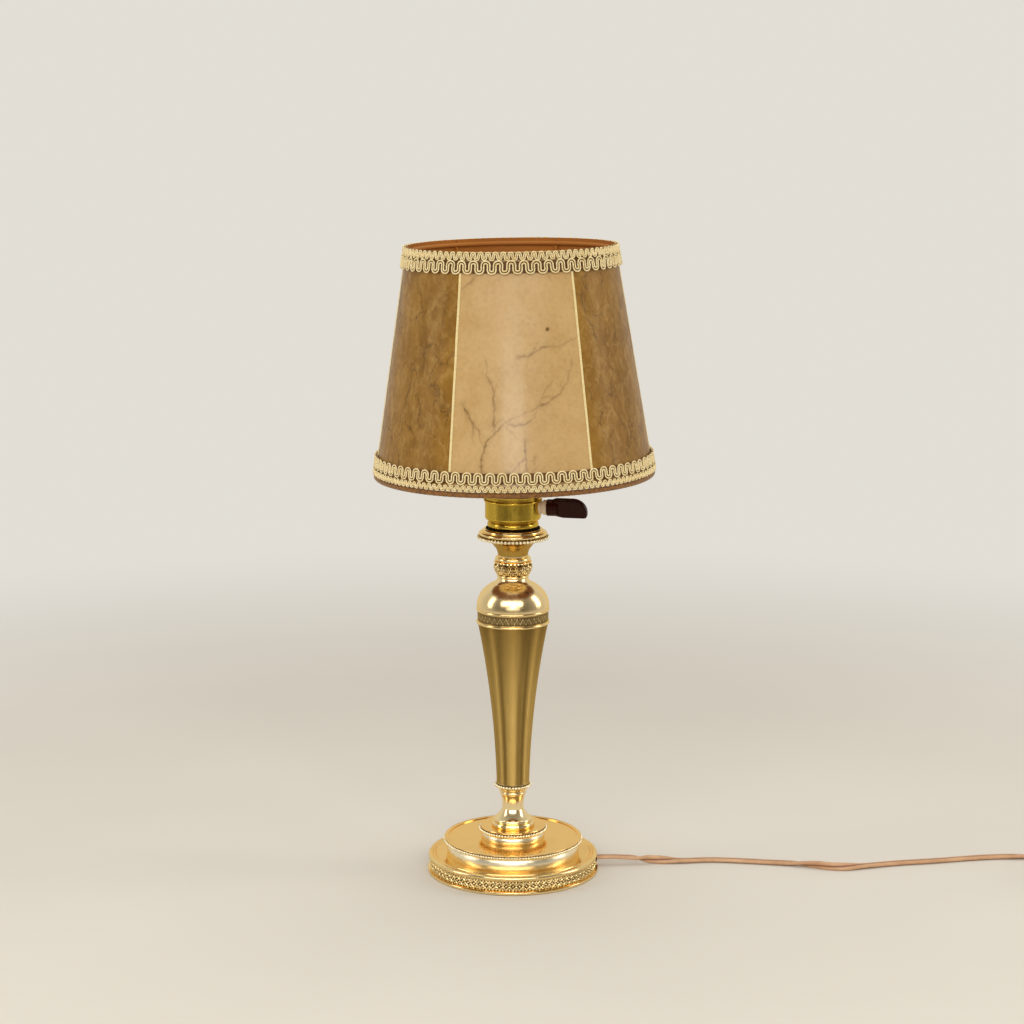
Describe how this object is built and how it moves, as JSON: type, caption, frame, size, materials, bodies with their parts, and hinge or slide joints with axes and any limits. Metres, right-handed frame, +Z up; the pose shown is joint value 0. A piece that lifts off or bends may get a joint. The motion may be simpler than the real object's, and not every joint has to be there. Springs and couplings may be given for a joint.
{
  "type": "accent lamp",
  "caption": "Brass candlestick table lamp with a stepped beaded base, a turned column, a turn-key screw socket and a tapered panelled parchment shade that clips onto the bulb.",
  "frame": {"origin": "centre of the felt face that the lamp stands on", "axes": "+Z up along the rod, -Y to the front, +X to the side of the switch key and the cord"},
  "size_m": [0.5157, 0.1908, 0.3899],
  "materials": {
    "polished_brass": "polished, lacquered, with darker tarnish in the ornament",
    "socket_brass": "drawn sheet brass, satin",
    "steel_fittings": "zinc plated",
    "cast_weight": "rough cast",
    "felt": "green felt",
    "black_fibre": "black vulcanised fibre",
    "liner_paper": "insulating paper",
    "bakelite": "dark brown moulded, glossy",
    "cream_bushing": "cream moulded",
    "porcelain": "unglazed",
    "bulb_glass": "clear",
    "bulb_insulator": "black glass",
    "bulb_cap": "drawn, satin",
    "frame_wire": "brass plated wire",
    "wrapped_wire": "wrapped in brown tape",
    "parchment_light": "light tan parchment with veins",
    "parchment_dark": "brown parchment with veins",
    "seam_tape": "cream woven tape",
    "trim": "cream braid and gimp",
    "cord_sheath": "tan twin flex",
    "tie": "black strip",
    "plug_plastic": "brown moulded"
  },
  "bodies": {
    "stand": {"base_foot": "polished_brass", "base_middle_tier": "polished_brass", "base_top_tier": "polished_brass", "stem_spool": "polished_brass", "column_collar": "polished_brass", "column": "polished_brass", "column_band": "polished_brass", "vase_shoulder": "polished_brass", "leaf_knop": "polished_brass", "candle_cup": "polished_brass", "socket_cap": "socket_brass", "socket_shell": "socket_brass", "screw_shell": "socket_brass", "terminal_screws": "socket_brass", "center_contact": "socket_brass", "threaded_rod": "steel_fittings", "rod_nut": "steel_fittings", "rod_washer": "steel_fittings", "plug_blades": "steel_fittings", "base_weight": "cast_weight", "felt_pad": "felt", "socket_gasket": "black_fibre", "socket_liner": "liner_paper", "key_bushing": "cream_bushing", "socket_body": "porcelain", "inner_cord": "cord_sheath", "cord_lead": "cord_sheath", "cord_coil": "cord_sheath", "cord_bushing": "cord_sheath", "coil_tie": "tie", "plug_body": "plug_plastic"},
    "key": {"key_shaft": "steel_fittings", "key_paddle": "bakelite", "switch_rotor": "porcelain"},
    "bulb_seat": {"bulb_tip": "steel_fittings"},
    "bulb": {"bulb_insulator": "bulb_insulator", "bulb_cap": "bulb_cap", "bulb_glass": "bulb_glass", "bulb_stem": "bulb_glass", "bulb_filament": "steel_fittings"},
    "clip": {"bulb_clip": "frame_wire"},
    "shade": {"shade_arm": "frame_wire", "shade_top_ring": "frame_wire", "shade_bottom_ring": "wrapped_wire", "shade_ribs": "frame_wire", "shade_panel_1": "parchment_light", "shade_panel_2": "parchment_dark", "shade_panel_3": "parchment_light", "shade_panel_4": "parchment_dark", "shade_panel_5": "parchment_light", "shade_panel_6": "parchment_dark", "shade_seam_tapes": "seam_tape", "top_rim_braid": "trim", "top_scroll_gimp": "trim", "bottom_scroll_gimp": "trim", "bottom_rim_braid": "trim"}
  },
  "joints": [
    {"name": "key_turn", "type": "hinge", "parent": "stand", "child": "key", "pos_m": [0, 0, 0.23], "axis": [0.9781, -0.2079, 0], "continuous": true},
    {"name": "bulb_rise", "type": "slide", "parent": "stand", "child": "bulb_seat", "axis": [0, 0, 1], "range_m": [0, 0.011]},
    {"name": "bulb_turn", "type": "hinge", "parent": "bulb_seat", "child": "bulb", "pos_m": [0, 0, 0.2537], "axis": [0, 0, 1], "range_deg": [0, 1080]},
    {"name": "shade_lift", "type": "slide", "parent": "bulb", "child": "clip", "axis": [0, 0, 1], "range_m": [0, 0.1]},
    {"name": "shade_tilt", "type": "hinge", "parent": "clip", "child": "shade", "pos_m": [-0.00045, 0, 0.33576], "axis": [0.9999, 0, 0.0157], "range_deg": [-8, 8]}
  ],
  "couplings": [
    {"joint": "bulb_rise", "follows": "bulb_turn", "m_per_rad": 0.00057757}
  ]
}
